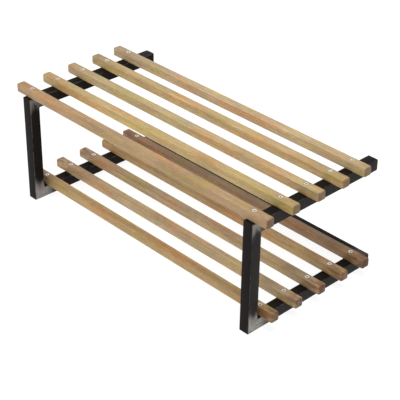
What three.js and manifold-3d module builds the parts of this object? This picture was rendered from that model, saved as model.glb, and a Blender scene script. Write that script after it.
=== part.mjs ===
// A low two-tier slatted bench: wooden slats screwed to two C-shaped side frames of square steel
// tube, which one tie rail joins along the back. Millimetres. X runs along the length with the
// left frame at -X, Y runs from the legs at the front to the open back, and Z is up. The origin is
// on the floor, under the middle of the bench.
import * as THREE from "three";
import { mergeVertices } from "three/addons/utils/BufferGeometryUtils.js";
import Module from "manifold-3d";

// The welded frame, measured over its outer faces.
const FRAME_WIDTH = 690;
const FRAME_DEPTH = 356;
const FRAME_HEIGHT = 250;

// Square steel tube.
const TUBE_SIDE = 25;
const TUBE_WALL = 2;
const TUBE_CORNER_RADIUS = 2;
const TUBE_INNER_RADIUS = 0.5;

// Wooden slats. The ends are rounded a little less than the long edges.
const SLAT_OVERHANG = 30; // past the frame's outer face at each end
const SLAT_DEPTH = 20;
const SLAT_HEIGHT = 20;
const SLAT_EDGE_RADIUS = 2.8;
const SLAT_END_RADIUS = 5;
const SLATS_PER_TIER = 5;

// Where the slats of each tier lie on their bars. The last slat stands closer to its neighbour
// than the others do, by the shortfall.
const TOP_FRONT_SETBACK = 6.5;
const TOP_BACK_MARGIN = 56.5;
const TOP_LAST_SHORTFALL = 6;
const LOWER_GAP_BEHIND_LEG = 8.4;
const LOWER_GAP_BEFORE_RAIL = 9.7;
const LOWER_LAST_SHORTFALL = 2.1;

// Countersunk machine screws with a hexagon socket.
const SCREW_DIAMETER = 5;
const SCREW_REACH = 10; // below the slat
const SCREW_TIP_CHAMFER = 0.8;
const HEAD_DIAMETER = 10;
const HEAD_RIM = 0.4;
const HEAD_RECESS = 0.2; // below the slat's top face
const SOCKET_ACROSS_FLATS = 3;
const SOCKET_DEPTH = 2;
const SCREW_HOLE_CLEARANCE = 0.15;

// Blind rivet nuts, set flush in the bars' top walls.
const NUT_SLEEVE = 1; // wall around the thread
const NUT_LENGTH = 12;
const NUT_LIP = 0.5; // the countersunk lip, as wide as it is deep
const NUT_BULGE = 1; // the sleeve folds out this far behind the wall
const NUT_FOLD_LENGTH = 3;
const NUT_FOLD_GAP = 0.15;
const NUT_HOLE_CLEARANCE = 0.1;
const THREAD_CLEARANCE = 0.1;

// Push-in plugs in the open back ends of the top bars.
const PLUG_HEAD = 2;
const PLUG_REACH = 14;
const PLUG_WALL = 1.6;
const PLUG_CLEARANCE = 0.15;

// How finely the round shapes are cut.
const ROUND_SIDES = 12;
const CORNER_STEPS = 2; // a section's corner has twice as many flats
const END_STEPS = 3;
const CUT_MARGIN = 1; // how far a cutter runs past the face it opens

const HALF_TUBE = TUBE_SIDE / 2;
const SCREW_RADIUS = SCREW_DIAMETER / 2;
const HEAD_RADIUS = HEAD_DIAMETER / 2;
const NUT_RADIUS = SCREW_RADIUS + NUT_SLEEVE;
const BAR_CENTRE_X = FRAME_WIDTH / 2 - HALF_TUBE;
const SLAT_LENGTH = FRAME_WIDTH + 2 * SLAT_OVERHANG;

const OAK = { color: 0xc39a6b, roughness: 0.62, metalness: 0 };
const BLACK_STEEL = { color: 0x25242a, roughness: 0.45, metalness: 0.85 };
const ZINC = { color: 0xc9c9c6, roughness: 0.3, metalness: 1 };
const BLACK_PLASTIC = { color: 0x1b1b1c, roughness: 0.55, metalness: 0 };

const wasm = await Module();
wasm.setup();

function solidOf(geometry) {
  const bare = geometry.clone();
  bare.deleteAttribute("normal");
  bare.deleteAttribute("uv");
  const merged = mergeVertices(bare, 1e-4);
  return new wasm.Manifold(
    new wasm.Mesh({
      numProp: 3,
      vertProperties: merged.attributes.position.array,
      triVerts: new Uint32Array(merged.index.array),
    }),
  );
}

function geometryOf(solid) {
  const { vertProperties, triVerts } = solid.getMesh();
  const geometry = new THREE.BufferGeometry();
  geometry.setAttribute("position", new THREE.BufferAttribute(vertProperties, 3));
  geometry.setIndex(new THREE.BufferAttribute(triVerts, 1));
  geometry.computeVertexNormals();
  return geometry;
}

function meshOf(name, geometry, finish) {
  const mesh = new THREE.Mesh(geometry, new THREE.MeshStandardMaterial(finish));
  mesh.name = name;
  return mesh;
}

// A rectangle about the origin with rounded corners, as a Shape or as a hole's Path.
function roundedRectangle(outline, width, height, radius) {
  const x = width / 2 - radius;
  const y = height / 2 - radius;
  outline.absarc(x, y, radius, 0, Math.PI / 2);
  outline.absarc(-x, y, radius, Math.PI / 2, Math.PI);
  outline.absarc(-x, -y, radius, Math.PI, 1.5 * Math.PI);
  outline.absarc(x, -y, radius, 1.5 * Math.PI, 2 * Math.PI);
  outline.closePath();
  return outline;
}

function extrude(shape, depth) {
  return new THREE.ExtrudeGeometry(shape, {
    depth,
    curveSegments: CORNER_STEPS,
    bevelEnabled: false,
  });
}

// A turned shape about the Z axis, from [radius, height] points that run up its outside.
function turned(profile) {
  const points = profile.map(([radius, height]) => new THREE.Vector2(radius, height));
  return new THREE.LatheGeometry(points, ROUND_SIDES).rotateX(Math.PI / 2);
}

function squareCut() {
  return 0;
}

// How far a 45 degree mitre cuts back a point of the section: nothing at the frame's outer face,
// which is on the given side of the given axis, and a whole tube side at its inner face.
function mitre(axis, side) {
  return (point) => HALF_TUBE - side * point[axis];
}

// Square tube along Z from 0 to the length, with its ends cut back as the two rules say.
function tube(length, startCut, endCut) {
  const bore = TUBE_SIDE - 2 * TUBE_WALL;
  const section = roundedRectangle(new THREE.Shape(), TUBE_SIDE, TUBE_SIDE, TUBE_CORNER_RADIUS);
  section.holes.push(roundedRectangle(new THREE.Path(), bore, bore, TUBE_INNER_RADIUS));
  const geometry = extrude(section, length);
  const corners = geometry.attributes.position;
  const point = new THREE.Vector3();
  for (let i = 0; i < corners.count; i++) {
    point.fromBufferAttribute(corners, i);
    corners.setZ(i, point.z < length / 2 ? startCut(point) : length - endCut(point));
  }
  geometry.computeVertexNormals();
  return geometry;
}

// Where each slat of a tier has its centre line, counted back from the front of the frame.
function slatLines(setback, margin, shortfall) {
  const span = FRAME_DEPTH - setback - margin - SLAT_DEPTH;
  const pitch = (span + shortfall) / (SLATS_PER_TIER - 1);
  const first = setback + SLAT_DEPTH / 2;
  return Array.from({ length: SLATS_PER_TIER }, (_, i) =>
    i < SLATS_PER_TIER - 1 ? first + i * pitch : first + span,
  );
}

// The seat of a rivet nut in a bar's top wall, with the bar's top face at Z = 0.
function nutSeat() {
  const hole = NUT_RADIUS + NUT_HOLE_CLEARANCE;
  const mouth = hole + NUT_LIP;
  return turned([
    [0, -TUBE_WALL - CUT_MARGIN],
    [hole, -TUBE_WALL - CUT_MARGIN],
    [hole, -NUT_LIP],
    [mouth, 0],
    [mouth, CUT_MARGIN],
    [0, CUT_MARGIN],
  ]);
}

// A bar that runs back along Y from Y = 0, with its centre line on the Y axis and a rivet nut's
// seat under each slat.
function barGeometry(length, frontCut, backCut, lines) {
  const bar = tube(length, frontCut, backCut).rotateX(-Math.PI / 2);
  return geometryOf(
    lines.reduce(
      (left, y) => left.subtract(solidOf(nutSeat().translate(0, y, HALF_TUBE))),
      solidOf(bar),
    ),
  );
}

// A rivet nut as set, with its flush face at Z = 0 and its sleeve folded out behind the wall.
function rivetNutGeometry() {
  const bore = SCREW_RADIUS + THREAD_CLEARANCE;
  const foldTop = -TUBE_WALL - NUT_FOLD_GAP;
  return turned([
    [bore, -NUT_LENGTH],
    [NUT_RADIUS, -NUT_LENGTH],
    [NUT_RADIUS, foldTop - NUT_FOLD_LENGTH],
    [NUT_RADIUS + NUT_BULGE, foldTop - NUT_FOLD_LENGTH / 2],
    [NUT_RADIUS, foldTop],
    [NUT_RADIUS, -NUT_LIP],
    [NUT_RADIUS + NUT_LIP, 0],
    [bore, 0],
    [bore, -NUT_LENGTH],
  ]);
}

// The outside of a screw without its socket. The head's face is at Z = 0.
function screwBlank(clearance, above, length) {
  const shank = SCREW_RADIUS + clearance;
  const head = HEAD_RADIUS + clearance;
  const tip = clearance > 0 ? 0 : SCREW_TIP_CHAMFER;
  return turned([
    [0, -length],
    [shank - tip, -length],
    [shank, -length + tip],
    [shank, -HEAD_RIM - HEAD_RADIUS + SCREW_RADIUS],
    [head, -HEAD_RIM],
    [head, above],
    [0, above],
  ]);
}

function screwGeometry() {
  const corner = SOCKET_ACROSS_FLATS / Math.sqrt(3);
  const height = SOCKET_DEPTH + CUT_MARGIN;
  const socket = new THREE.CylinderGeometry(corner, corner, height, 6).rotateX(Math.PI / 2);
  socket.translate(0, 0, height / 2 - SOCKET_DEPTH);
  const blank = screwBlank(0, 0, SLAT_HEIGHT + SCREW_REACH);
  return geometryOf(solidOf(blank).subtract(solidOf(socket)));
}

// The outside of a slat along X, resting on Z = 0. Near each end its section shrinks along a
// quarter circle, and the whole is convex, so it is the hull of its sections' corners.
function slatBlank() {
  const edge = Math.min(SLAT_EDGE_RADIUS, SLAT_DEPTH / 4, SLAT_HEIGHT / 4);
  const end = Math.min(SLAT_END_RADIUS, SLAT_DEPTH / 4, SLAT_HEIGHT / 4);
  const section = roundedRectangle(new THREE.Shape(), SLAT_DEPTH, SLAT_HEIGHT, edge);
  const corners = [];
  for (let step = 0; step <= END_STEPS; step += 1) {
    const angle = (step / END_STEPS) * (Math.PI / 2);
    const x = SLAT_LENGTH / 2 - end * (1 - Math.cos(angle));
    const lost = 2 * end * (1 - Math.sin(angle));
    for (const point of section.getPoints(CORNER_STEPS)) {
      const y = point.x * (1 - lost / SLAT_DEPTH);
      const z = point.y * (1 - lost / SLAT_HEIGHT) + SLAT_HEIGHT / 2;
      corners.push([x, y, z], [-x, y, z]);
    }
  }
  return wasm.Manifold.hull(corners);
}

// A slat drilled and countersunk for its screws.
function slatGeometry() {
  const headFace = SLAT_HEIGHT - HEAD_RECESS;
  let slat = slatBlank();
  for (const x of [-BAR_CENTRE_X, BAR_CENTRE_X]) {
    const hole = screwBlank(SCREW_HOLE_CLEARANCE, HEAD_RECESS + CUT_MARGIN, SLAT_HEIGHT + CUT_MARGIN);
    slat = slat.subtract(solidOf(hole.translate(x, 0, headFace)));
  }
  return geometryOf(slat);
}

// A plug's head stands on Z = 0 and its hollow body reaches down into the tube.
function plugGeometry() {
  const body = TUBE_SIDE - 2 * TUBE_WALL - 2 * PLUG_CLEARANCE;
  const pocket = body - 2 * PLUG_WALL;
  const radius = TUBE_INNER_RADIUS;
  const block = (side, corner, bottom, top) => {
    const outline = roundedRectangle(new THREE.Shape(), side, side, corner);
    return solidOf(extrude(outline, top - bottom).translate(0, 0, bottom));
  };
  const head = block(TUBE_SIDE, TUBE_CORNER_RADIUS, 0, PLUG_HEAD);
  const leg = block(body, radius, -PLUG_REACH, PLUG_HEAD / 2);
  const hollow = block(pocket, radius, -PLUG_REACH - CUT_MARGIN, 0);
  return geometryOf(head.add(leg).subtract(hollow));
}

const TOP_LINES = slatLines(TOP_FRONT_SETBACK, TOP_BACK_MARGIN, TOP_LAST_SHORTFALL);
const LOWER_LINES = slatLines(
  TUBE_SIDE + LOWER_GAP_BEHIND_LEG,
  TUBE_SIDE + LOWER_GAP_BEFORE_RAIL,
  LOWER_LAST_SHORTFALL,
);

// One C-shaped side frame, open to the back. The outer side of its plan is at -1 or +1 along X.
function sideFrame(word, outer) {
  const group = new THREE.Group();
  group.position.x = outer * BAR_CENTRE_X;

  const upright = tube(FRAME_HEIGHT, mitre("y", -1), mitre("y", -1));
  const leg = meshOf(`${word}_leg`, upright, BLACK_STEEL);
  leg.position.y = HALF_TUBE;

  const floorBar = barGeometry(FRAME_DEPTH, mitre("y", 1), mitre("x", outer), LOWER_LINES);
  const bottomBar = meshOf(`${word}_bottom_bar`, floorBar, BLACK_STEEL);
  bottomBar.position.z = HALF_TUBE;

  const cutLength = FRAME_DEPTH - PLUG_HEAD;
  const shelfBar = barGeometry(cutLength, mitre("y", -1), squareCut, TOP_LINES);
  const topBar = meshOf(`${word}_top_bar`, shelfBar, BLACK_STEEL);
  topBar.position.z = FRAME_HEIGHT - HALF_TUBE;

  const plug = meshOf(`${word}_end_plug`, plugGeometry(), BLACK_PLASTIC);
  plug.position.set(0, cutLength, FRAME_HEIGHT - HALF_TUBE);
  plug.rotation.x = -Math.PI / 2;

  group.add(leg, bottomBar, topBar, plug);
  return group;
}

// The tie rail behind the lower slats, mitred into the bottom bars.
function backRail() {
  const rail = meshOf("back_rail", tube(FRAME_WIDTH, mitre("y", 1), mitre("y", 1)), BLACK_STEEL);
  rail.position.set(-FRAME_WIDTH / 2, FRAME_DEPTH - HALF_TUBE, HALF_TUBE);
  rail.rotation.y = Math.PI / 2;
  return rail;
}

// One tier of slats with the screws and rivet nuts that hold it, resting on Z = 0.
function tier(word, lines) {
  const group = new THREE.Group();
  lines.forEach((y, i) => {
    const number = i + 1;
    const slat = meshOf(`${word}_slat_${number}`, slatGeometry(), OAK);
    slat.position.y = y;
    group.add(slat);
    for (const [side, x] of [["left", -BAR_CENTRE_X], ["right", BAR_CENTRE_X]]) {
      const screw = meshOf(`${word}_screw_${side}_${number}`, screwGeometry(), ZINC);
      screw.position.set(x, y, SLAT_HEIGHT - HEAD_RECESS);
      const nut = meshOf(`${word}_rivet_nut_${side}_${number}`, rivetNutGeometry(), ZINC);
      nut.position.set(x, y, 0);
      group.add(screw, nut);
    }
  });
  return group;
}

const lowerTier = tier("lower", LOWER_LINES);
lowerTier.position.z = TUBE_SIDE;
const topTier = tier("top", TOP_LINES);
topTier.position.z = FRAME_HEIGHT;

const bench = new THREE.Group();
bench.position.y = -FRAME_DEPTH / 2;
bench.add(sideFrame("left", -1), sideFrame("right", 1), backRail(), lowerTier, topTier);

export default bench;
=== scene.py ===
"""The looks of a low two-tier slatted bench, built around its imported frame.

Lengths are in metres unless a name ends in _mm. X runs along the slats, Y from the legs at the
front to the open back, and Z is up.
"""

from __future__ import annotations

import logging
import math
from collections.abc import Callable, Iterable, Sequence
from dataclasses import dataclass, field
from enum import Enum
from typing import Any

import bmesh
import bpy
from mathutils import Matrix, Vector


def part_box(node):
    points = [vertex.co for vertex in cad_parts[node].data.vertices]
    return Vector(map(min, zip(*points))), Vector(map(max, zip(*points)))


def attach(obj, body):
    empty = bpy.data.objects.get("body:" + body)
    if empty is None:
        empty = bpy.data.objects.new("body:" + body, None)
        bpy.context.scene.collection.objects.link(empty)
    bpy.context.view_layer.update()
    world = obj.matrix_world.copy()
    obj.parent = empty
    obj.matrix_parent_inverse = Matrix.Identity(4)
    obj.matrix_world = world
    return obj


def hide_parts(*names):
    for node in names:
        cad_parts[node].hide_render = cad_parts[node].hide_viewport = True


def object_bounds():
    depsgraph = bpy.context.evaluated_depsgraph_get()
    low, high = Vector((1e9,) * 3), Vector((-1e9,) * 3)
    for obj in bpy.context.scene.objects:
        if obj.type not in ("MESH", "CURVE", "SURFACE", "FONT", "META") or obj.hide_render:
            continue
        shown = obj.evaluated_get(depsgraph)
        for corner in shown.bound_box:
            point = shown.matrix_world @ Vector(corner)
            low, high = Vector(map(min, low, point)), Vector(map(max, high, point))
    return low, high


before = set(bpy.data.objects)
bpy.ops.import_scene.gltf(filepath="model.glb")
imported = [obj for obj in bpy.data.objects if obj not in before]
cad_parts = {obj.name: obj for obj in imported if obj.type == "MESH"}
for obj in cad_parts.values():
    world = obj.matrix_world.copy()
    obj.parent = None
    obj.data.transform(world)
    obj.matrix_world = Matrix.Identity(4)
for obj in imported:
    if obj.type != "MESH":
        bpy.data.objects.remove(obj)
CAD_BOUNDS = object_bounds()

LOG = logging.getLogger("bench")
MM = 0.001
BODY = "root"
TIERS = ("top", "lower")
SIDES = ("left", "right")
SLATS_PER_TIER = 5
SHARP_ANGLE = math.radians(32)

Colour = tuple[float, float, float]
Point = tuple[float, float]
Spot = tuple[float, float, float]
Ring = list[Vector]
Cut = Callable[[Point], float]


# ---------------------------------------------------------------- shader and geometry graphs


class Value:
    """A shader socket that carries one number, with Python's arithmetic."""

    def __init__(self, graph: Graph, socket: bpy.types.NodeSocket) -> None:
        """Keep the graph and the socket."""
        self.graph = graph
        self.socket = socket

    def math(self, operation: str, *others: Any) -> Value:
        """Add a Math node that takes this value first.

        Args:
            operation: the node's operation.
            others: its other inputs, as numbers or values.

        Returns:
            The node's result.
        """
        return self.graph.value("ShaderNodeMath", {"operation": operation}, self, *others)

    def __add__(self, other: Any) -> Value:
        """Sum."""
        return self.math("ADD", other)

    __radd__ = __add__

    def __sub__(self, other: Any) -> Value:
        """Difference."""
        return self.math("SUBTRACT", other)

    def __rsub__(self, other: float) -> Value:
        """Difference from a number."""
        return self.graph.value("ShaderNodeMath", {"operation": "SUBTRACT"}, other, self)

    def __mul__(self, other: Any) -> Value:
        """Product."""
        return self.math("MULTIPLY", other)

    __rmul__ = __mul__

    def __truediv__(self, other: Any) -> Value:
        """Quotient."""
        return self.math("DIVIDE", other)

    def __pow__(self, other: Any) -> Value:
        """Power."""
        return self.math("POWER", other)

    def __abs__(self) -> Value:
        """Size without sign."""
        return self.math("ABSOLUTE")

    def low(self, other: Any) -> Value:
        """The smaller of the two."""
        return self.math("MINIMUM", other)

    def high(self, other: Any) -> Value:
        """The larger of the two."""
        return self.math("MAXIMUM", other)

    def rise(self, start: float, end: float) -> Value:
        """A smooth step.

        Args:
            start: where it is 0.
            end: where it is 1, which may lie below start.

        Returns:
            The step, from 0 to 1.
        """
        settings = {"interpolation_type": "SMOOTHSTEP"}
        if start < end:
            return self.graph.value("ShaderNodeMapRange", settings, self, start, end)
        return self.graph.value("ShaderNodeMapRange", settings, self, end, start, 1.0, 0.0)


class Graph:
    """A material's node tree, and the one method that adds any node to it."""

    def __init__(self, name: str) -> None:
        """Start a material with nothing in its tree.

        Args:
            name: the material's name.
        """
        self.material = bpy.data.materials.new(name)
        self.material.use_nodes = True
        self.tree = self.material.node_tree
        self.tree.nodes.clear()

    def node(self, kind: str, settings: dict[str, Any], inputs: dict[Any, Any]) -> bpy.types.Node:
        """Add a node.

        Args:
            kind: the node's type.
            settings: its own properties, set first.
            inputs: what its sockets hold, by name or number: a value, a link or a Value.

        Returns:
            The node.
        """
        made = self.tree.nodes.new(kind)
        for name, setting in settings.items():
            setattr(made, name, setting)
        for key, given in inputs.items():
            socket = made.inputs[key]
            if isinstance(given, Value):
                given = given.socket
            if isinstance(given, bpy.types.NodeSocket):
                self.tree.links.new(given, socket)
            elif isinstance(given, tuple) and socket.type == "RGBA":
                socket.default_value = (*given, 1.0)
            else:
                socket.default_value = given
        return made

    def value(self, kind: str, settings: dict[str, Any], *inputs: Any) -> Value:
        """Add a node whose sockets are given in order, and wrap its first output."""
        return Value(self, self.node(kind, settings, dict(enumerate(inputs))).outputs[0])

    def place(self) -> bpy.types.NodeSocket:
        """The point's place in the object's own frame, which is the bench's frame."""
        return self.node("ShaderNodeTexCoord", {}, {}).outputs["Object"]

    def axes(self, vector: bpy.types.NodeSocket) -> tuple[Value, Value, Value]:
        """The three parts of a vector."""
        parts = self.node("ShaderNodeSeparateXYZ", {}, {0: vector}).outputs
        return Value(self, parts[0]), Value(self, parts[1]), Value(self, parts[2])

    def vector(self, x: Any, y: Any, z: Any) -> bpy.types.NodeSocket:
        """A vector from three parts."""
        return self.node("ShaderNodeCombineXYZ", {}, {0: x, 1: y, 2: z}).outputs[0]

    def length(self, vector: bpy.types.NodeSocket) -> Value:
        """How long a vector is."""
        made = self.node("ShaderNodeVectorMath", {"operation": "LENGTH"}, {0: vector})
        return Value(self, made.outputs["Value"])

    def attribute(self, name: str, output: str) -> bpy.types.NodeSocket:
        """One output of a mesh attribute, such as Color, Vector or Fac."""
        return self.node("ShaderNodeAttribute", {"attribute_name": name}, {}).outputs[output]

    def noise(self, vector: Any, scale: float, detail: float = 2.0, rough: float = 0.5) -> Value:
        """Noise from 0 to 1.

        Args:
            vector: where it is read.
            scale: features per metre.
            detail: octaves.
            rough: how strong the finer octaves are.

        Returns:
            The noise.
        """
        inputs = {"Vector": vector, "Scale": scale, "Detail": detail, "Roughness": rough}
        return Value(self, self.node("ShaderNodeTexNoise", {}, inputs).outputs[0])

    def mixed(self, factor: Any, a: Any, b: Any, blend: str = "MIX") -> bpy.types.NodeSocket:
        """Two colours mixed.

        Args:
            factor: how much of b shows, from 0 to 1.
            a: the first colour.
            b: the second colour.
            blend: the blend mode.

        Returns:
            The mixed colour.
        """
        settings = {"data_type": "RGBA", "blend_type": blend}
        return self.node("ShaderNodeMix", settings, {0: factor, 6: a, 7: b}).outputs[2]

    def shaded(self, colour: Any, by: Value) -> bpy.types.NodeSocket:
        """A colour made darker or lighter by a number."""
        inputs = {0: colour, "Scale": by}
        return self.node("ShaderNodeVectorMath", {"operation": "SCALE"}, inputs).outputs[0]

    def bump(self, height: Value, strength: float, distance: float) -> bpy.types.NodeSocket:
        """A bumped normal.

        Args:
            height: the relief, from 0 to 1.
            strength: how much of it shows.
            distance: its depth.

        Returns:
            The normal.
        """
        inputs = {"Strength": strength, "Distance": distance, "Height": height}
        return self.node("ShaderNodeBump", {}, inputs).outputs[0]

    def finish(self, **inputs: Any) -> bpy.types.Material:
        """Close the tree with a Principled shader.

        Args:
            inputs: its sockets, with underscores for the spaces in their names.

        Returns:
            The material.
        """
        named = {name.replace("_", " "): given for name, given in inputs.items()}
        shader = self.node("ShaderNodeBsdfPrincipled", {}, named)
        self.node("ShaderNodeOutputMaterial", {}, {0: shader.outputs[0]})
        return self.material


class Recipe:
    """A Geometry Nodes tree with named inputs, run on a piece and then taken off it."""

    def __init__(self, name: str) -> None:
        """Start a tree that takes and gives one geometry.

        Args:
            name: the tree's name.
        """
        self.tree = bpy.data.node_groups.new(name, "GeometryNodeTree")
        self.identifiers: dict[str, str] = {}
        kind = "NodeSocketGeometry"
        self.ask("Geometry", kind)
        self.tree.interface.new_socket("Geometry", in_out="OUTPUT", socket_type=kind)
        self.given = self.tree.nodes.new("NodeGroupInput")
        self.result = self.tree.nodes.new("NodeGroupOutput")

    def ask(self, name: str, kind: str = "NodeSocketFloat") -> None:
        """Add a named input."""
        made = self.tree.interface.new_socket(name, in_out="INPUT", socket_type=kind)
        self.identifiers[name] = made.identifier

    def want(self, name: str) -> bpy.types.NodeSocket:
        """The socket that gives a named input."""
        return self.given.outputs[name]

    def node(
        self, kind: str, settings: dict[str, Any], inputs: dict[Any, Any], output: Any = 0
    ) -> bpy.types.NodeSocket:
        """Add a node.

        Args:
            kind: the node's type.
            settings: its own properties, set first.
            inputs: what its sockets hold: a value, a link, or a list of links.
            output: the output that is wanted, by number or name.

        Returns:
            That output.
        """
        made = self.tree.nodes.new(kind)
        for name, setting in settings.items():
            setattr(made, name, setting)
        for key, given in inputs.items():
            for one in given if isinstance(given, list) else [given]:
                if isinstance(one, bpy.types.NodeSocket):
                    self.tree.links.new(one, made.inputs[key])
                else:
                    made.inputs[key].default_value = one
        return made.outputs[output]

    def maths(self, operation: str, *inputs: Any) -> Any:
        """A Math node on numbers or links."""
        return self.node("ShaderNodeMath", {"operation": operation}, dict(enumerate(inputs)))

    def close(self, geometry: Any) -> None:
        """End the tree in Realize Instances and Set Material.

        Args:
            geometry: what the tree has made.
        """
        real = self.node("GeometryNodeRealizeInstances", {}, {0: geometry})
        inputs = {"Geometry": real, "Material": self.want("Material")}
        dressed = self.node("GeometryNodeSetMaterial", {}, inputs)
        self.tree.links.new(dressed, self.result.inputs[0])

    def run(self, name: str, start: bpy.types.Mesh, values: dict[str, Any]) -> bpy.types.Object:
        """Make one piece.

        Args:
            name: the piece's name.
            start: the mesh that the tree is given.
            values: the tree's inputs by name.

        Returns:
            An object with a plain mesh and no modifier.
        """
        maker = linked(name + ".maker", start)
        modifier = maker.modifiers.new("recipe", "NODES")
        modifier.node_group = self.tree
        for key, given in values.items():
            modifier[self.identifiers[key]] = given
        mesh = applied(maker)
        bpy.data.objects.remove(maker)
        mesh.name = name
        mesh.set_sharp_from_angle(angle=SHARP_ANGLE)
        return linked(name, mesh)


# ---------------------------------------------------------------- mesh helpers


def linked(name: str, mesh: bpy.types.Mesh) -> bpy.types.Object:
    """An object for a mesh, in the scene.

    Args:
        name: the object's name.
        mesh: its mesh.

    Returns:
        The object.
    """
    made = bpy.data.objects.new(name, mesh)
    bpy.context.scene.collection.objects.link(made)
    return made


def applied(piece: bpy.types.Object) -> bpy.types.Mesh:
    """The mesh that a piece's modifiers make of it.

    Args:
        piece: the piece, which is left as it is.

    Returns:
        A new mesh with the same attributes.
    """
    graph = bpy.context.evaluated_depsgraph_get()
    result = piece.evaluated_get(graph)
    return bpy.data.meshes.new_from_object(
        result, preserve_all_data_layers=True, depsgraph=graph
    )


def arc(centre: Point, radius: float, start: float, end: float, steps: int) -> list[Point]:
    """Points on an arc.

    Args:
        centre: its centre.
        radius: its radius.
        start: the first angle, in degrees.
        end: the last angle, in degrees.
        steps: how many pieces it is cut into.

    Returns:
        The points, ends included.
    """
    angles = (math.radians(start + (end - start) * i / steps) for i in range(steps + 1))
    return [(centre[0] + radius * math.cos(a), centre[1] + radius * math.sin(a)) for a in angles]


def rounded_square(half: float, radius: float, steps: int) -> list[Point]:
    """The outline of a square with rounded corners, from +X round to +Y.

    Args:
        half: half its side.
        radius: its corners' radius.
        steps: flats to a corner.

    Returns:
        The outline's points.
    """
    inner = half - radius
    corners = ((inner, inner), (-inner, inner), (-inner, -inner), (inner, -inner))
    points: list[Point] = []
    for turn, corner in enumerate(corners):
        points += arc(corner, radius, 90 * turn, 90 * turn + 90, steps)
    return points


def loft(name: str, rings: Sequence[Ring], looped: bool = False) -> bpy.types.Mesh:
    """A closed mesh through rings that have the same number of points.

    Args:
        name: the mesh's name.
        rings: the rings in order. A ring of one point is a pole.
        looped: join the last ring to the first, where otherwise each end is closed.

    Returns:
        The mesh, with its faces turned outwards.
    """
    shape = bmesh.new()
    rows = [[shape.verts.new(point) for point in ring] for ring in rings]
    pairs = list(zip(rows, rows[1:]))
    if looped:
        pairs.append((rows[-1], rows[0]))
    for a, b in pairs:
        count = max(len(a), len(b))
        for i in range(count):
            j = (i + 1) % count
            corners = [a[i % len(a)], a[j % len(a)], b[j % len(b)], b[i % len(b)]]
            shape.faces.new(list(dict.fromkeys(corners)))
    for row in () if looped else (rows[0], rows[-1]):
        if len(row) > 1:
            shape.faces.new(row)
    bmesh.ops.recalc_face_normals(shape, faces=shape.faces)
    mesh = bpy.data.meshes.new(name)
    shape.to_mesh(mesh)
    shape.free()
    mesh.shade_smooth()
    mesh.set_sharp_from_angle(angle=SHARP_ANGLE)
    return mesh


def cut(piece: bpy.types.Object, cutters: Iterable[bpy.types.Object]) -> None:
    """Cut closed shapes out of a piece, and remove them.

    Args:
        piece: the piece, which gets a new mesh.
        cutters: the closed shapes.
    """
    for cutter in cutters:
        modifier = piece.modifiers.new("cut", "BOOLEAN")
        modifier.operation = "DIFFERENCE"
        modifier.solver = "EXACT"
        modifier.object = cutter
        mesh = applied(piece)
        piece.modifiers.clear()
        piece.data = mesh
        bpy.data.objects.remove(cutter)
    piece.data.set_sharp_from_angle(angle=SHARP_ANGLE)


def round_ring(radius: float, z: float, around: int) -> Ring:
    """A ring of points about the Z axis."""
    turns = (math.tau * i / around for i in range(around))
    return [Vector((radius * math.cos(a), radius * math.sin(a), z)) for a in turns]


def top_middle(node: str) -> Vector:
    """The middle of the top face of a CAD node's box."""
    low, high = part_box(node)
    return Vector(((low.x + high.x) / 2, (low.y + high.y) / 2, high.z))


def dress(piece: bpy.types.Object, material: bpy.types.Material) -> None:
    """Give a piece one material."""
    piece.data.materials.clear()
    piece.data.materials.append(material)


def place_piece(piece: bpy.types.Object, nodes: Sequence[str] = ()) -> None:
    """Tie a piece to the body, hide the CAD nodes it stands for, and report it.

    Args:
        piece: the finished piece.
        nodes: the CAD nodes that it replaces.
    """
    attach(piece, BODY)
    if nodes:
        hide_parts(*nodes)
    LOG.info("%s: %d faces", piece.name, len(piece.data.polygons))


# ---------------------------------------------------------------- finishes


@dataclass(frozen=True)
class Figure:
    """One pattern in the wood, drawn out along the grain.

    The squash is how much coarser it is along the grain than across, as a share below 1. The
    scale is its features per metre across the grain, and the depth is how strongly it shows.
    """

    squash: float
    scale: float
    detail: float = 2.0
    depth: float = 0.0


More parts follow.
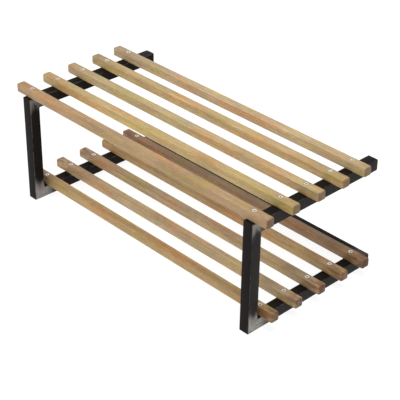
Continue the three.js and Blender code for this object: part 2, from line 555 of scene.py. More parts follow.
@dataclass(frozen=True)
class OiledOak:
    """Oiled wood with straight grain along X, streaks of colour, pores, darker end grain and
    painted shade.

    A tint begins its "reach" away from a slat's end, and is whole from its "full" onwards.
    """

    ring_spacing: float = 4.2 * MM
    ring_depth: float = 0.16
    ring_sharpness: float = 1.6
    sway_across: float = 6.0 * MM
    sway_up: float = 9.0 * MM
    sway: Figure = Figure(0.12, 22.0, 1.0)
    streaks: Figure = Figure(0.030, 330.0, 3.0, 0.80)
    flecks: Figure = Figure(0.110, 620.0, 2.0, 0.95)
    fibres: Figure = Figure(0.020, 1900.0, 2.0, 0.25)
    clouds: Figure = Figure(0.30, 26.0, 2.0, 0.65)
    pores: Figure = Figure(0.045, 2600.0, 1.0, 0.34)
    hues: Figure = Figure(0.22, 34.0, 1.0)
    bleaching: Figure = Figure(0.06, 150.0)
    shade_patches: Figure = Figure(0.35, 90.0)
    warm_tint: Colour = (1.10, 0.90, 0.76)
    golden_tint: Colour = (1.03, 1.045, 0.77)
    pale_tint: Colour = (0.93, 1.00, 1.14)
    end_tint: Colour = (0.56, 0.50, 0.58)
    end_reach: float = 5.0 * MM
    end_full: float = 0.8 * MM
    # painted shade: a patchy darkening towards each slat's end, strongest on the lower tier,
    # standing in for the shadow the bars cast there
    painted_shade_tint: Colour = (0.50, 0.38, 0.37)
    painted_shade_reach: float = 75.0 * MM
    painted_shade_full: float = 10.0 * MM
    shade_above: float = 0.30
    shade_below: float = 0.90
    shade_heights: tuple[float, float] = (0.16, 0.06)
    roughness: float = 0.50
    relief: float = 0.25 * MM
    refraction: float = 1.46

    def material(self, half_length: float) -> bpy.types.Material:
        """Build the finish.

        Args:
            half_length: half a slat's length, where its end grain begins.

        Returns:
            The material.
        """
        graph = Graph("oiled_oak")
        x, y, z = graph.axes(graph.place())
        shift_x, shift_y, shift_z = graph.axes(graph.attribute("grain_shift", "Vector"))
        along, across, up = x + shift_x, y + shift_y, z + shift_z

        def grain(figure: Figure) -> Value:
            """One pattern, from 0 to 1."""
            place = graph.vector(along * figure.squash, across, up)
            return graph.noise(place, figure.scale, figure.detail, 0.6)

        sway = grain(self.sway) - 0.5
        from_heart = graph.length(
            graph.vector(0.0, across + sway * self.sway_across, up + sway * self.sway_up)
        )
        wave = (from_heart * (math.tau / self.ring_spacing)).math("SINE")
        rings = (wave * 0.5 + 0.5) ** self.ring_sharpness
        streaks, fibres = grain(self.streaks), grain(self.fibres)
        pores = grain(self.pores).rise(0.64, 0.74)

        light = 1.0 - self.ring_depth * rings
        for figure, pattern in (
            (self.streaks, streaks),
            (self.flecks, grain(self.flecks)),
            (self.fibres, fibres),
            (self.clouds, grain(self.clouds)),
        ):
            light = light * (1.0 + figure.depth * (pattern - 0.5))
        light = light * (1.0 - self.pores.depth * pores)

        hue = grain(self.hues)
        end = abs(x).rise(half_length - self.end_reach, half_length - self.end_full)
        # painted shade near each slat's end, patchy, strongest on the lower tier
        painted_shade = abs(x).rise(half_length - self.painted_shade_reach, half_length - self.painted_shade_full)
        shade_spread = self.shade_below - self.shade_above
        shade_by_height = self.shade_above + shade_spread * z.rise(*self.shade_heights)
        colour = graph.attribute("timber", "Color")
        for tint, share in (
            (self.warm_tint, hue.rise(0.50, 0.66)),
            (self.golden_tint, hue.rise(0.48, 0.34)),
            (self.pale_tint, grain(self.bleaching).rise(0.50, 0.68)),
            (self.painted_shade_tint, painted_shade * grain(self.shade_patches).rise(0.36, 0.62) * shade_by_height),
            (self.end_tint, end),
        ):
            colour = graph.mixed(share, colour, graph.mixed(1.0, colour, tint, "MULTIPLY"))

        rough = self.roughness + 0.14 * (streaks - 0.5) + 0.12 * pores + 0.14 * end
        height = 1.0 - 0.5 * fibres - 0.6 * pores - 0.25 * rings
        return graph.finish(
            Base_Color=graph.shaded(colour, light),
            Roughness=rough,
            Normal=graph.bump(height, 0.35, self.relief),
            IOR=self.refraction,
        )


@dataclass(frozen=True)
class MillSteel:
    """Steel tube with its black mill scale, ground bright where its corners are welded.

    The mesh attribute "edge" is 1 along a tube's rounded corners, where a painted highlight
    lightens the scale.
    """

    scale_dark: Colour = (0.005, 0.004, 0.004)
    scale_light: Colour = (0.016, 0.013, 0.011)
    # painted sheen: the lighter colour of the corners' painted highlight and of the side frames'
    # outer faces
    painted_sheen: Colour = (0.085, 0.080, 0.078)
    side_sheen: float = 0.22
    ground_dark: Colour = (0.15, 0.137, 0.128)
    ground_light: Colour = (0.44, 0.415, 0.39)
    foot_reach: float = 0.036
    top_reach: float = 0.018
    top_dullness: float = 0.50
    inner_dullness: float = 0.35
    rail_reach: float = 0.014
    rail_strength: float = 0.35
    fork: float = 0.014
    fade: float = 0.032
    streak_spread: float = 0.050
    patch_spread: float = 0.030
    rail_fade: float = 0.02
    mitre_blend: float = 4.0 * MM
    skin: float = 1.8 * MM
    streak_squash: float = 0.06
    streak_scale: float = 620.0
    patch_scale: float = 55.0
    blotch_scale: float = 14.0
    grit_scale: float = 2400.0

    def material(self, tube: TubeSection) -> bpy.types.Material:
        """Build the finish.

        Args:
            tube: the tube's section and where the frame's corners are.

        Returns:
            The material.
        """
        graph = Graph("mill_steel")
        place = graph.place()
        y, z = graph.axes(place)[1:]
        from_leg = y - (CAD_BOUNDS[0].y + tube.side)
        from_bar = (z - tube.side).low(tube.frame_top - tube.side - z)
        on_leg = (from_bar - from_leg).rise(-self.mitre_blend, self.mitre_blend)
        at_foot = z.rise(tube.frame_top * 0.55, tube.frame_top * 0.45)
        streaks = self._streaks(graph, on_leg)
        patches = graph.noise(place, self.patch_scale)

        uneven = (streaks - 0.5) * self.streak_spread + (patches - 0.5) * self.patch_spread
        middle = 1.0 - abs((from_leg / tube.side + 0.5) * 2.0)
        off_corner = from_leg.high(from_bar) + on_leg * middle.high(0.0) * self.fork
        reach = self.top_reach + at_foot * (self.foot_reach - self.top_reach)
        on_outside, on_sides = self._on_sides(graph, tube)
        side_ground = (reach - off_corner - uneven).rise(0.0, self.fade) * on_sides
        ground = side_ground.high(self._rail_ground(graph, tube, uneven))

        bright = (streaks * 1.3 + patches * 0.5 - 0.55).rise(0.05, 0.75)
        bright = bright * (1.0 - self.top_dullness * (1.0 - at_foot))
        bright = bright * (1.0 - self.inner_dullness * (1.0 - on_outside))
        bare = graph.mixed(bright, self.ground_dark, self.ground_light)
        blotches = graph.noise(place, self.blotch_scale, 3.0, 0.6)
        scale = graph.mixed((blotches + streaks) * 0.5, self.scale_dark, self.scale_light)
        # painted highlight along the rounded corners, and painted sheen that lightens the side
        # frames' outer faces
        edge = Value(graph, graph.attribute("edge", "Fac"))
        painted_sheen = ((edge ** 2.0) * patches.rise(0.25, 0.75)).high(on_outside * self.side_sheen)
        scale = graph.mixed(painted_sheen, scale, self.painted_sheen)
        grit = graph.noise(place, self.grit_scale, 2.0, 0.6)
        return graph.finish(
            Base_Color=graph.mixed(ground, scale, bare),
            Roughness=0.40 + 0.12 * (patches - 0.5) + 0.1 * (streaks - 0.5),
            Metallic=ground * 0.9,
            Normal=graph.bump(grit * 0.4 + streaks * ground, 0.25, 0.12 * MM),
            Specular_IOR_Level=0.045,
        )

    def _streaks(self, graph: Graph, on_leg: Value) -> Value:
        """The grinder's streaks, upright on the legs and level on the bars.

        Args:
            graph: the finish's tree.
            on_leg: 1 on the legs and 0 on the bars.

        Returns:
            The streaks, from 0 to 1.
        """
        x, y, z = graph.axes(graph.place())
        along_legs = graph.vector(x, y, z * self.streak_squash)
        upright = graph.noise(along_legs, self.streak_scale, 3.0, 0.65)
        along_bars = graph.vector(x, y * self.streak_squash, z)
        level = graph.noise(along_bars, self.streak_scale, 3.0, 0.65)
        return level + on_leg * (upright - level)

    def _on_sides(self, graph: Graph, tube: TubeSection) -> tuple[Value, Value]:
        """Where the side frames' outer faces are, and their outer and inner faces together.

        Args:
            graph: the finish's tree.
            tube: the tube's section and where the frame's lines are.

        Returns:
            The two masks.
        """
        off_middle = abs(graph.axes(graph.place())[0]) - tube.bar_x
        half = tube.side / 2
        return off_middle.rise(half - self.skin, half), abs(off_middle).rise(half - self.skin, half)

    def _rail_ground(self, graph: Graph, tube: TubeSection, uneven: Value) -> Value:
        """The fainter grinding on top of the corners between the rail and the bottom bars.

        Args:
            graph: the finish's tree.
            tube: the tube's section and where the frame's lines are.
            uneven: how far the edge of the grinding strays.

        Returns:
            The mask.
        """
        x, y, z = graph.axes(graph.place())
        half = tube.side / 2
        off_bar = tube.bar_x - half - abs(x)
        off_rail = (CAD_BOUNDS[1].y - tube.side) - y
        worn = self.rail_reach - off_bar.high(off_rail).high(0.0) - uneven
        on_level = abs(z - half).rise(half - self.skin, half)
        by_floor = z.rise(tube.side + 2 * MM, tube.side + 1 * MM)
        return worn.rise(0.0, self.rail_fade) * on_level * by_floor * self.rail_strength


@dataclass(frozen=True)
class ZincPlate:
    """Bright zinc plate with fine clouding.

    The mesh attribute "recess" is 1 in a screw's socket, which is painted darker as shade.
    """

    pale: Colour = (0.80, 0.80, 0.79)
    dull: Colour = (0.52, 0.53, 0.54)
    # painted shade for the screws' sockets
    socket_shade: Colour = (0.045, 0.042, 0.040)

    def material(self) -> bpy.types.Material:
        """Build the finish.

        Returns:
            The material.
        """
        graph = Graph("zinc_plate")
        place = graph.place()
        clouds = graph.noise(place, 900.0, 3.0, 0.6)
        # painted shade: the socket is darkened, and made rougher and less metallic
        socket_shading = Value(graph, graph.attribute("recess", "Fac")) * (0.75 + 0.25 * clouds)
        plate = graph.mixed(clouds, self.dull, self.pale)
        return graph.finish(
            Base_Color=graph.mixed(socket_shading, plate, self.socket_shade),
            Roughness=0.26 + 0.16 * clouds + 0.35 * socket_shading,
            Metallic=1.0 - 0.8 * socket_shading,
            Normal=graph.bump(graph.noise(place, 5200.0, 1.0), 0.12, 0.05 * MM),
        )


@dataclass(frozen=True)
class MouldedPlastic:
    """Black moulded plastic with a fine leather-like grain."""

    black: Colour = (0.012, 0.012, 0.013)
    grey: Colour = (0.022, 0.022, 0.023)

    def material(self) -> bpy.types.Material:
        """Build the finish.

        Returns:
            The material.
        """
        graph = Graph("moulded_plastic")
        place = graph.place()
        grain = graph.noise(place, 1800.0, 2.0, 0.55)
        return graph.finish(
            Base_Color=graph.mixed(graph.noise(place, 60.0), self.black, self.grey),
            Roughness=0.5 + 0.12 * grain,
            Normal=graph.bump(grain, 0.3, 0.08 * MM),
        )


@dataclass(frozen=True)
class WeldMetal:
    """Unground weld metal, dark with heat colours."""

    dark: Colour = (0.035, 0.032, 0.034)
    heat: Colour = (0.10, 0.065, 0.045)

    def material(self) -> bpy.types.Material:
        """Build the finish.

        Returns:
            The material.
        """
        graph = Graph("weld_metal")
        place = graph.place()
        heat = graph.noise(place, 160.0, 2.0)
        return graph.finish(
            Base_Color=graph.mixed(heat.rise(0.4, 0.7), self.dark, self.heat),
            Roughness=0.38 + 0.2 * heat,
            Metallic=0.7,
            Normal=graph.bump(graph.noise(place, 1500.0, 2.0), 0.3, 0.1 * MM),
        )


# ---------------------------------------------------------------- the bench


class Timber(Enum):
    """The tones that the slats are sorted into."""

    ROSE = (0.412, 0.268, 0.132)
    GOLD = (0.481, 0.345, 0.150)
    STRAW = (0.477, 0.357, 0.177)
    AMBER = (0.475, 0.332, 0.151)
    FAWN = (0.485, 0.349, 0.191)
    TAN = (0.421, 0.276, 0.116)
    HAZEL = (0.446, 0.308, 0.165)
    UMBER = (0.297, 0.174, 0.085)


@dataclass
class Slats:
    """The ten wooden slats, each drilled and countersunk over both bars."""

    edge_radius: float = 2.8 * MM
    end_radius: float = 5.0 * MM
    edge_steps: int = 7
    end_steps: int = 7
    hole_radius: float = 2.65 * MM
    head_radius: float = 5.15 * MM
    seat_depth: float = 0.6 * MM
    hole_steps: int = 48
    log_step: float = 1.7
    heart_start: float = 0.7
    heart_turn: float = 2.4
    heart_near: float = 45.0 * MM
    heart_step: float = 11.0 * MM
    tones: tuple[tuple[Timber, ...], ...] = (
        (Timber.ROSE, Timber.GOLD, Timber.STRAW, Timber.AMBER, Timber.FAWN),
        (Timber.TAN, Timber.FAWN, Timber.HAZEL, Timber.TAN, Timber.UMBER),
    )

    def recipe(self) -> Recipe:
        """The tree that makes a slat: a swept section with rounded ends, less its two holes.

        Returns:
            The tree.
        """
        tree = Recipe("slat")
        for name in ("Length", "Depth", "Height", "Bar X", "Edge Radius", "End Radius"):
            tree.ask(name)
        tree.ask("Drill", "NodeSocketObject")
        tree.ask("Place", "NodeSocketVector")
        tree.ask("Timber", "NodeSocketColor")
        tree.ask("Grain Shift", "NodeSocketVector")
        tree.ask("Material", "NodeSocketMaterial")
        blank = self._blank(tree)
        drilled = tree.node(
            "GeometryNodeMeshBoolean",
            {"operation": "DIFFERENCE", "solver": "EXACT"},
            {"Mesh 1": blank, "Mesh 2": self._holes(tree)},
        )
        for name, kind, source in (
            ("timber", "FLOAT_COLOR", "Timber"),
            ("grain_shift", "FLOAT_VECTOR", "Grain Shift"),
        ):
            drilled = tree.node(
                "GeometryNodeStoreNamedAttribute",
                {"data_type": kind, "domain": "POINT"},
                {"Geometry": drilled, "Name": name, "Value": tree.want(source)},
            )
        inputs = {"Geometry": drilled, "Translation": tree.want("Place")}
        placed = tree.node("GeometryNodeTransform", {}, inputs)
        tree.close(tree.node("GeometryNodeSetShadeSmooth", {}, {0: placed}))
        return tree

    def _blank(self, tree: Recipe) -> Any:
        """The undrilled slat about the origin.

        The section is swept along X over a path whose first and last points crowd towards the
        ends, and there it shrinks along a quarter circle.

        Args:
            tree: the slat's tree.

        Returns:
            The slat's geometry.
        """
        section = tree.node(
            "GeometryNodeCurvePrimitiveQuadrilateral",
            {"mode": "RECTANGLE"},
            {"Width": tree.want("Depth"), "Height": tree.want("Height")},
        )
        section = tree.node(
            "GeometryNodeFilletCurve",
            {"mode": "POLY"},
            {"Curve": section, "Count": self.edge_steps, "Radius": tree.want("Edge Radius")},
        )
        last = 2 * self.end_steps + 1
        line = tree.node("GeometryNodeCurvePrimitiveLine", {"mode": "POINTS"}, {"End": (1, 0, 0)})
        line = tree.node(
            "GeometryNodeResampleCurve", {"mode": "COUNT"}, {"Curve": line, "Count": last + 1}
        )
        index = tree.node("GeometryNodeInputIndex", {}, {})
        back = tree.maths("SUBTRACT", float(last), index)
        step = tree.maths("MINIMUM", index, back)
        angle = tree.maths("MULTIPLY", step, math.pi / 2 / self.end_steps)
        radius = tree.want("End Radius")

        def short_of(turn: str) -> Any:
            """The radius less its sine or cosine.

            Args:
                turn: which of the two.

            Returns:
                The socket that gives it.
            """
            return tree.maths(
                "SUBTRACT", radius, tree.maths("MULTIPLY", radius, tree.maths(turn, angle))
            )

        half = tree.maths("MULTIPLY", tree.want("Length"), 0.5)
        towards = tree.maths("SIGN", tree.maths("SUBTRACT", index, last / 2))
        x = tree.maths("MULTIPLY", towards, tree.maths("SUBTRACT", half, short_of("COSINE")))
        spot = tree.node("ShaderNodeCombineXYZ", {}, {0: x})
        line = tree.node("GeometryNodeSetPosition", {}, {"Geometry": line, "Position": spot})
        half_height = tree.maths("MULTIPLY", tree.want("Height"), 0.5)
        shrunk = tree.maths("SUBTRACT", half_height, short_of("SINE"))
        size = tree.maths("DIVIDE", shrunk, half_height)
        inputs = {"Curve": line, "Profile Curve": section, "Scale": size, "Fill Caps": True}
        return tree.node("GeometryNodeCurveToMesh", {}, inputs)

    def _cutter(self, height: float) -> bpy.types.Mesh:
        """What is drilled out for a screw, with the slat's top face at the origin.

        Args:
            height: how thick the slat is.

        Returns:
            The shank's hole, the countersink and the seat above it as one closed mesh.
        """
        past = 1.0 * MM
        sink = self.head_radius - self.hole_radius
        profile = (
            (self.hole_radius, -height - past),
            (self.hole_radius, -self.seat_depth - sink),
            (self.head_radius, -self.seat_depth),
            (self.head_radius, past),
        )
        return loft("drill", [round_ring(radius, z, self.hole_steps) for radius, z in profile])

    @staticmethod
    def _holes(tree: Recipe) -> Any:
        """The two cutters in their places, one over each bar.

        Args:
            tree: the slat's tree.

        Returns:
            The cutters' geometry.
        """
        inputs = {"Object": tree.want("Drill")}
        drill = tree.node("GeometryNodeObjectInfo", {}, inputs, "Geometry")
        top = tree.maths("MULTIPLY", tree.want("Height"), 0.5)
        pair = []
        for sign in (-1.0, 1.0):
            x = tree.maths("MULTIPLY", tree.want("Bar X"), sign)
            spot = tree.node("ShaderNodeCombineXYZ", {}, {0: x, 2: top})
            inputs = {"Geometry": drill, "Translation": spot}
            pair.append(tree.node("GeometryNodeTransform", {}, inputs))
        return tree.node("GeometryNodeJoinGeometry", {}, {0: pair})

    def build(self, oak: bpy.types.Material, bar_x: float) -> None:
        """Make the ten slats in their places.

        Args:
            oak: their finish.
            bar_x: how far the bars' centre lines are from the middle.
        """
        recipe = self.recipe()
        empty = bpy.data.meshes.new("no_mesh")
        low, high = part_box(f"{TIERS[0]}_slat_1")
        drill = linked("drill", self._cutter(high.z - low.z))
        for row, tier in enumerate(TIERS):
            for i, tone in enumerate(self.tones[row]):
                node = f"{tier}_slat_{i + 1}"
                low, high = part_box(node)
                number = 7 * row + i
                values = {
                    "Length": high.x - low.x,
                    "Depth": high.y - low.y,
                    "Height": high.z - low.z,
                    "Bar X": bar_x,
                    "Drill": drill,
                    "Edge Radius": self.edge_radius,
                    "End Radius": self.end_radius,
                    "Place": tuple((low + high) / 2),
                    "Timber": (*tone.value, 1.0),
                    "Grain Shift": self._grain_shift(number, (low + high) / 2),
                    "Material": oak,
                }
                slat = recipe.run(f"oak_{node}", empty, values)
                place_piece(slat, [node])
        bpy.data.objects.remove(drill)

    def _grain_shift(self, number: int, centre: Vector) -> Spot:
        """Where a slat was sawn from its log, as a shift from the bench's frame.

        Args:
            number: the slat's number, which picks its place along and across the log.
            centre: the slat's middle.

        Returns:
            The shift that puts the log's heart some way off the slat.
        """
        angle = self.heart_turn * number + self.heart_start
        reach = self.heart_near + self.heart_step * (number % 4)
        across, up = reach * math.cos(angle), reach * math.sin(angle)
        return (self.log_step * number, across - centre.y, up - centre.z)


@dataclass
class Screws:
    """The countersunk socket screws over the bars."""

    head_radius: float = 5.0 * MM
    rim: float = 0.4 * MM
    shank_radius: float = 2.5 * MM
    length: float = 30.0 * MM
    socket_across: float = 3.0 * MM
    socket_depth: float = 2.0 * MM
    socket_point: float = 0.6 * MM
    socket_chamfer: float = 0.5 * MM
    corner_share: float = 1.155
    neck_length: float = 8.0 * MM
    tip_length: float = 1.0 * MM
    thread_pitch: float = 0.8 * MM
    thread_depth: float = 0.42 * MM
    around: int = 36
    seed: int = 5

    def _round(self, radius: float, z: float) -> Ring:
        """A round ring of the screw."""
        return round_ring(radius, z, self.around)

    def _hexagon(self, apothem: float, z: float) -> Ring:
        """A six-sided ring with as many points as a round one.

        Args:
            apothem: half the distance across its flats.
            z: its height.

        Returns:
            The ring.
        """
        sector = math.pi / 3
        ring = []
        for i in range(self.around):
            a = math.tau * i / self.around
            reach = apothem / math.cos(a % sector - sector / 2)
            ring.append(Vector((reach * math.cos(a), reach * math.sin(a), z)))
        return ring

    def master(self) -> bpy.types.Mesh:
        """One screw, with the middle of its head's face at the origin.

        Returns:
            Its mesh, with the attribute "recess" at 1 in the socket.
        """
        flat = self.socket_across / 2
        neck = -self.rim - (self.head_radius - self.shank_radius)
        # from the drilled point under the socket, up its walls, and out over the head's face
        rings = [
            [Vector((0, 0, -self.socket_depth - self.socket_point))],
            self._hexagon(flat * 0.96, -self.socket_depth),
            self._hexagon(flat, -self.socket_depth + 0.1 * MM),
            self._hexagon(flat, -self.socket_chamfer),
            self._round(flat * self.corner_share + self.socket_chamfer, 0.0),
            self._round(self.head_radius - 0.9 * MM, 0.0),
            self._round(self.head_radius - 0.25 * MM, -0.04 * MM),
            self._round(self.head_radius, -0.16 * MM),
            self._round(self.head_radius, -self.rim),
            self._round(self.shank_radius, neck),
        ]
        turns = int((self.length + neck - self.neck_length) / self.thread_pitch)
        start = -self.length + self.tip_length + turns * self.thread_pitch
        core = self.shank_radius - self.thread_depth
        for i in range(turns):
            top = start - i * self.thread_pitch
            rings += [
                self._round(self.shank_radius, top),
                self._round(core, top - self.thread_pitch * 0.5),
            ]
        rings += [
            self._round(self.shank_radius - 0.1 * MM, -self.length + 0.9 * MM),
            self._round(core - 0.3 * MM, -self.length),
        ]
        mesh = loft("screw", rings)
        in_socket = 1 + 3 * self.around
        shares = [1.0] * in_socket + [0.0] * (len(mesh.vertices) - in_socket)
        mesh.attributes.new("recess", "FLOAT", "POINT").data.foreach_set("value", shares)
        return mesh

    def recipe(self) -> Recipe:
        """The tree that sets a copy of the screw, turned at random, on every point.

        Returns:
            The tree.
        """
        tree = Recipe("screws")
        tree.ask("Screw", "NodeSocketObject")
        tree.ask("Seed", "NodeSocketInt")
        tree.ask("Material", "NodeSocketMaterial")
        inputs = {"Object": tree.want("Screw")}
        screw = tree.node("GeometryNodeObjectInfo", {}, inputs, "Geometry")
        inputs = {2: 0.0, 3: math.tau, "Seed": tree.want("Seed")}
        angle = tree.node("FunctionNodeRandomValue", {"data_type": "FLOAT"}, inputs, 1)
        spin = tree.node("ShaderNodeCombineXYZ", {}, {2: angle})
        inputs = {"Points": tree.want("Geometry"), "Instance": screw, "Rotation": spin}
        tree.close(tree.node("GeometryNodeInstanceOnPoints", {}, inputs))
        return tree

    def build(self, zinc: bpy.types.Material) -> None:
        """Set the screws of each tier.

        Args:
            zinc: their finish.
        """
        recipe = self.recipe()
        master = linked("screw_master", self.master())
        for row, tier in enumerate(TIERS):
            nodes = [f"{tier}_screw_{s}_{i + 1}" for s in SIDES for i in range(SLATS_PER_TIER)]
            seats = bpy.data.meshes.new("seats")
            seats.from_pydata([top_middle(node) for node in nodes], [], [])
            values = {"Screw": master, "Seed": self.seed + row, "Material": zinc}
            place_piece(recipe.run(f"{tier}_screws", seats, values), nodes)
        bpy.data.objects.remove(master)


@dataclass
class TubeSection:
    """The square tube, and where the frame's lines are."""

    wall: float = 2.0 * MM
    corner_radius: float = 2.0 * MM
    inner_radius: float = 0.5 * MM
    corner_steps: int = 6
    side: float = field(init=False)
    bar_x: float = field(init=False)
    frame_top: float = field(init=False)

    def __post_init__(self) -> None:
        """Take the tube's side and the frame's lines from the CAD nodes."""
        low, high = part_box("right_leg")
        self.side = high.x - low.x
        self.bar_x = (low.x + high.x) / 2
        self.frame_top = high.z

    def rings(self) -> tuple[list[Point], list[Point]]:
        """The tube's section.

        Returns:
            Its outer and inner outlines.
        """
        half = self.side / 2
        outer = rounded_square(half, self.corner_radius, self.corner_steps)
        return outer, rounded_square(half - self.wall, self.inner_radius, self.corner_steps)

    def edge_shares(self) -> list[float]:
        """How near each point of the outer outline is to the middle of a corner, from 0 to 1."""
        steps = self.corner_steps
        return [math.sin(math.pi * step / steps) for step in range(steps + 1)] * 4


@dataclass
class WeldBeads:
    """The rippled welds in the inner corners of each side frame, and where the rail meets it."""

    tube: TubeSection
    radius: float = 2.6 * MM
    inset_share: float = 0.45
    ripples: int = 9
    ripple_depth: float = 0.14
    blunted_ends: float = 0.25
    least_share: float = 0.05
    steps: int = 64
    around: int = 16

    def _spans(self, side: str) -> list[tuple[Spot, Spot]]:
        """Where one side frame's beads lie.

        Args:
            side: which side frame.

        Returns:
            The two ends of the lower bead, the upper bead and the rail's bead.
        """
        sign = -1 if side == "left" else 1
        half = self.tube.side / 2
        x = sign * self.tube.bar_x
        low, high = CAD_BOUNDS
        inner_y = low.y + self.tube.side
        rail_y = high.y - self.tube.side
        inset = self.radius * self.inset_share
        spans = [
            ((x - half + inset, inner_y, z), (x + half - inset, inner_y, z))
            for z in (self.tube.side, self.tube.frame_top - self.tube.side)
        ]
        corner_x = sign * (self.tube.bar_x - half)
        spans.append(((corner_x, rail_y, inset), (corner_x, rail_y, self.tube.side - inset)))
        return spans

    def recipe(self) -> Recipe:
        """The tree that makes a rippled bead from one point to another.

        Returns:
            The tree.
        """
        tree = Recipe("weld_bead")
        tree.ask("Start", "NodeSocketVector")
        tree.ask("End", "NodeSocketVector")
        for name in ("Radius", "Ripples", "Ripple Depth"):
            tree.ask(name)
        tree.ask("Material", "NodeSocketMaterial")
        inputs = {"Start": tree.want("Start"), "End": tree.want("End")}
        line = tree.node("GeometryNodeCurvePrimitiveLine", {"mode": "POINTS"}, inputs)
        inputs = {"Curve": line, "Count": self.steps}
        line = tree.node("GeometryNodeResampleCurve", {"mode": "COUNT"}, inputs)
        turn = tree.maths("MULTIPLY", tree.node("GeometryNodeSplineParameter", {}, {}), math.pi)
        wave = tree.maths("SINE", tree.maths("MULTIPLY", turn, tree.want("Ripples")))
        depth = tree.want("Ripple Depth")
        trough = tree.maths("SUBTRACT", 1.0, depth)
        swell = tree.maths("MULTIPLY", tree.maths("ABSOLUTE", wave), depth)
        ends = tree.maths("POWER", tree.maths("SINE", turn), self.blunted_ends)
        size = tree.maths("MULTIPLY", tree.maths("ADD", trough, swell), ends)
        size = tree.maths("MAXIMUM", size, self.least_share)
        circle = tree.node(
            "GeometryNodeCurvePrimitiveCircle",
            {"mode": "RADIUS"},
            {"Resolution": self.around, "Radius": tree.want("Radius")},
        )
        inputs = {"Curve": line, "Profile Curve": circle, "Scale": size, "Fill Caps": True}
        bead = tree.node("GeometryNodeCurveToMesh", {}, inputs)
        tree.close(tree.node("GeometryNodeSetShadeSmooth", {}, {0: bead}))
        return tree

    def build(self, side: str, weld: bpy.types.Material) -> None:
        """Lay the beads of one side frame.

        Args:
            side: which side frame.
            weld: their finish.
        """
        recipe = self.recipe()
        empty = bpy.data.meshes.new("no_mesh")
        for word, (start, end) in zip(("lower", "upper", "rail"), self._spans(side)):
            values = {
                "Start": start,
                "End": end,
                "Radius": self.radius,
                "Ripples": float(self.ripples),
                "Ripple Depth": self.ripple_depth,
                "Material": weld,
            }
            place_piece(recipe.run(f"{side}_{word}_weld", empty, values))


@dataclass
class WeldedFrame:
    """The two C-shaped side frames with their welds, and the rail that ties them together."""

    tube: TubeSection
    beads: WeldBeads
    hole_radius: float = 3.6 * MM
    hole_steps: int = 32

    def _mitre(self, axis: int, outer: float) -> Cut:
        """The cut back from a mitred end, from nothing at the frame's outer face.

        Args:
            axis: 0 or 1, the section's axis across the mitre.
            outer: 1 or -1, the side of the outer face.

        Returns:
            A rule that takes a point of the section and gives its cut.
        """
        half = self.tube.side / 2
        return lambda point: half - outer * point[axis]

    @staticmethod
    def _square(_point: Point) -> float:
        """A square end isn't cut back."""
        return 0.0

    def _tube(
        self,
        name: str,
        cuts: tuple[Cut, Cut],
        turn: Matrix,
        steel: bpy.types.Material,
        holes: Sequence[Vector] = (),
    ) -> None:
        """Make one length of tube where its CAD node is.

        Args:
            name: the CAD node.
            cuts: the rules for its first and last end.
            turn: turns the tube's own Z onto its run.
            steel: its finish.
            holes: where its top wall is bored for rivet nuts.
        """
        low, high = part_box(name)
        length = max(high - low)
        run = turn @ Vector((0, 0, 1))
        start = (low + high) / 2 - run * length / 2
        outer, inner = self.tube.rings()

        def ring(outline: list[Point], end: int) -> Ring:
            """The outline at one end, cut as its rule says.

            Args:
                outline: the outer or the inner outline.
                end: 0 for the first end and 1 for the last.

            Returns:
                The ring.
            """
            return [
                start + turn @ Vector((*p, length - cuts[1](p) if end else cuts[0](p)))
                for p in outline
            ]

        mesh = loft(name, [ring(outer, 0), ring(outer, 1), ring(inner, 1), ring(inner, 0)], True)
        edge = self.tube.edge_shares() * 2 + [0.0] * (2 * len(inner))
        mesh.attributes.new("edge", "FLOAT", "POINT").data.foreach_set("value", edge)
        piece = linked(f"steel_{name}", mesh)
        cut(piece, [self._drill(spot) for spot in holes])
        dress(piece, steel)
        place_piece(piece, [name])

    def _drill(self, spot: Vector) -> bpy.types.Object:
        """A cutter for one hole in a top wall.

        Args:
            spot: the hole's middle on the top face.

        Returns:
            The cutter.
        """
        reach = 2 * self.tube.wall
        rings = [
            [spot + point for point in round_ring(self.hole_radius, z, self.hole_steps)]
            for z in (-reach, reach)
        ]
        return linked("drill", loft("drill", rings))

    def _seats(self, tier: str, side: str) -> list[Vector]:
        """The middle of each rivet nut's flush face along one bar."""
        return [top_middle(f"{tier}_rivet_nut_{side}_{i + 1}") for i in range(SLATS_PER_TIER)]

    def build(self, steel: bpy.types.Material, weld: bpy.types.Material) -> None:
        """Make every tube and weld of the frame.

        Args:
            steel: the tubes' finish.
            weld: the beads' finish.
        """
        upright = Matrix.Identity(3)
        backwards = Matrix.Rotation(math.radians(-90), 3, "X")
        along = Matrix.Rotation(math.radians(90), 3, "Y")
        front, back = self._mitre(1, -1.0), self._mitre(1, 1.0)
        for side, outer in zip(SIDES, (-1.0, 1.0)):
            self._tube(f"{side}_leg", (front, front), upright, steel)
            cuts = (back, self._mitre(0, outer))
            seats = self._seats("lower", side)
            self._tube(f"{side}_bottom_bar", cuts, backwards, steel, seats)
            cuts = (front, self._square)
            seats = self._seats("top", side)
            self._tube(f"{side}_top_bar", cuts, backwards, steel, seats)
            self.beads.build(side, weld)
        self._tube("back_rail", (back, back), along, steel)


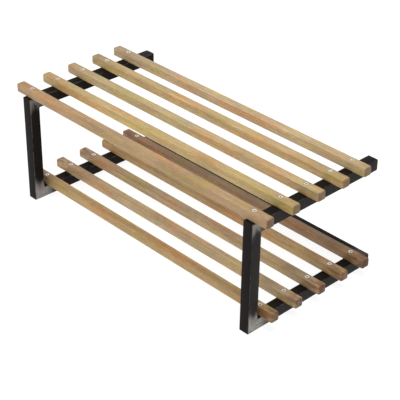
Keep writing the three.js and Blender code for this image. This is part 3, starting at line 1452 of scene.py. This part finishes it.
@dataclass
class EndPlugs:
    """The push-in plugs in the open ends of the top bars."""

    tube: TubeSection
    head: float = 2.0 * MM
    reach: float = 14.0 * MM
    wall: float = 1.6 * MM
    slack: float = 0.15 * MM
    rib: float = 0.45 * MM
    ribs: int = 4
    edge: float = 0.6 * MM
    edge_steps: int = 6
    hollow_floor: float = 0.5 * MM
    head_inset: float = 0.1 * MM
    undercut: float = 0.15 * MM

    def _outline(self, half: float, radius: float, y: float) -> Ring:
        """A rounded square at a distance behind the bar's cut end."""
        square = rounded_square(half, radius, self.tube.corner_steps)
        return [Vector((p[0], y, p[1])) for p in square]

    def _mesh(self) -> bpy.types.Mesh:
        """One plug about the middle of its bar's cut end.

        Returns:
            Its mesh: a hollow ribbed body with its head outside the bar.
        """
        half, radius = self.tube.side / 2, self.tube.corner_radius
        bore = half - self.tube.wall
        body = bore - self.slack - self.rib
        inner = self.tube.inner_radius
        rings = [
            self._outline(body - self.wall, inner, -self.hollow_floor),
            self._outline(body - self.wall, inner, -self.reach),
            self._outline(body, inner, -self.reach),
        ]
        pitch = (self.reach - 2.0 * MM) / self.ribs
        for i in range(self.ribs):
            y = -self.reach + 1.0 * MM + i * pitch
            rings += [
                self._outline(body, inner, y),
                self._outline(body + self.rib, inner, y + pitch * 0.35),
                self._outline(body, inner, y + pitch * 0.5),
            ]
        neck = self._outline(half - self.undercut, radius, 0.0)
        rings += [self._outline(body, inner, 0.0), neck]
        for i in range(self.edge_steps + 1):
            angle = math.radians(90 * i / self.edge_steps)
            side = half - self.head_inset - self.edge * (1 - math.cos(angle))
            y = self.head - self.edge * (1 - math.sin(angle))
            rings.append(self._outline(side, radius, y))
        return loft("plug", rings)

    def build(self, plastic: bpy.types.Material) -> None:
        """Push a plug into each top bar.

        Args:
            plastic: their finish.
        """
        for side in SIDES:
            node = f"{side}_end_plug"
            mesh = self._mesh()
            low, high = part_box(node)
            spot = (low + high) / 2
            spot.y = high.y - self.head
            mesh.transform(Matrix.Translation(spot))
            plug = linked(f"plastic_{node}", mesh)
            dress(plug, plastic)
            place_piece(plug, [node])


def dress_rivet_nuts(zinc: bpy.types.Material) -> None:
    """Give the CAD's rivet nuts their finish.

    Args:
        zinc: the finish.
    """
    for name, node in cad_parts.items():
        if "rivet_nut" in name:
            for slot in node.material_slots:
                slot.material = zinc


# ---------------------------------------------------------------- the studio


@dataclass(frozen=True)
class Lamp:
    """A square soft lamp that faces the bench."""

    name: str
    spot: Spot
    size: float
    power: float
    colour: Colour = (1.0, 1.0, 1.0)

    def hang(self) -> None:
        """Put the lamp in the scene."""
        aim = (CAD_BOUNDS[0] + CAD_BOUNDS[1]) / 2
        light = bpy.data.lights.new(self.name, "AREA")
        light.size = self.size
        light.energy = self.power
        light.color = self.colour
        lamp = bpy.data.objects.new(self.name, light)
        lamp.location = self.spot
        lamp.rotation_euler = (aim - Vector(self.spot)).to_track_quat("-Z", "Y").to_euler()
        bpy.context.scene.collection.objects.link(lamp)


@dataclass
class Studio:
    """A pale floor, soft light and the camera."""

    azimuth: float = 45.845
    elevation: float = 31.763
    roll: float = 0.890
    distance: float = 2.6228
    focal_mm: float = 111.554
    aim: Spot = (0.0299, -0.0062, 0.0886)
    floor_size: float = 14.0
    floor_paint: Colour = (0.20, 0.20, 0.20)
    floor_glow: float = 0.90
    floor_mottle: float = 0.97
    sky: Colour = (1.0, 1.0, 1.0)
    sky_strength: float = 0.35
    lamps: tuple[Lamp, ...] = (
        Lamp("overhead", (0.80, -0.25, 2.4), 0.5, 29.0),
        Lamp("front", (-1.0, -1.9, 2.0), 1.2, 35.0, (1.0, 0.95, 0.88)),
        Lamp("back", (-1.9, 1.8, 1.8), 1.8, 11.0),
    )

    def build(self) -> None:
        """Make the floor, the lights and the camera."""
        self._floor()
        self._sky()
        for lamp in self.lamps:
            lamp.hang()
        self._camera()

    def _floor(self) -> None:
        """A wide pale floor under the bench."""
        half = self.floor_size / 2
        mesh = bpy.data.meshes.new("floor")
        corners = [(-half, -half, 0), (half, -half, 0), (half, half, 0), (-half, half, 0)]
        mesh.from_pydata(corners, [], [(0, 1, 2, 3)])
        floor = linked("floor", mesh)
        graph = Graph("pale_floor")
        paper = graph.noise(graph.place(), 3.0, 1.0)
        shade = tuple(self.floor_mottle * part for part in self.floor_paint)
        dress(
            floor,
            graph.finish(
                Base_Color=graph.mixed(paper, shade, self.floor_paint),
                Roughness=0.9,
                Specular_IOR_Level=0.0,
                Emission_Color=(1.0, 1.0, 1.0),
                Emission_Strength=self.floor_glow,
            ),
        )

    def _sky(self) -> None:
        """An even pale surround."""
        world = bpy.data.worlds.new("surround")
        world.use_nodes = True
        background = world.node_tree.nodes["Background"]
        background.inputs["Color"].default_value = (*self.sky, 1.0)
        background.inputs["Strength"].default_value = self.sky_strength
        bpy.context.scene.world = world

    def _camera(self) -> None:
        """The camera, turned about the bench by its azimuth, elevation and roll."""
        a, e = math.radians(self.azimuth), math.radians(self.elevation)
        back = Vector((math.sin(a) * math.cos(e), -math.cos(a) * math.cos(e), math.sin(e)))
        lens = bpy.data.cameras.new("camera")
        lens.lens = self.focal_mm
        lens.clip_end = 50.0
        camera = bpy.data.objects.new("camera", lens)
        low, high = CAD_BOUNDS
        floor_point = Vector(((low.x + high.x) / 2, (low.y + high.y) / 2, low.z))
        roll = Matrix.Rotation(math.radians(self.roll), 3, "Z")
        turn = back.to_track_quat("Z", "Y").to_matrix() @ roll
        spot = floor_point + Vector(self.aim) + back * self.distance
        camera.matrix_world = Matrix.Translation(spot) @ turn.to_4x4()
        bpy.context.scene.collection.objects.link(camera)
        bpy.context.scene.camera = camera


def main() -> None:
    """Build the bench in order: wood, screws, frame, plugs, and then the studio."""
    logging.basicConfig(level=logging.INFO, format="%(message)s")
    tube = TubeSection()
    zinc = ZincPlate().material()
    Slats().build(OiledOak().material(CAD_BOUNDS[1].x), tube.bar_x)
    Screws().build(zinc)
    dress_rivet_nuts(zinc)
    steel, weld = MillSteel().material(tube), WeldMetal().material()
    WeldedFrame(tube, WeldBeads(tube)).build(steel, weld)
    EndPlugs(tube).build(MouldedPlastic().material())
    Studio().build()
    bpy.context.scene.view_settings.view_transform = "Standard"


if __name__ == "__main__":
    main()
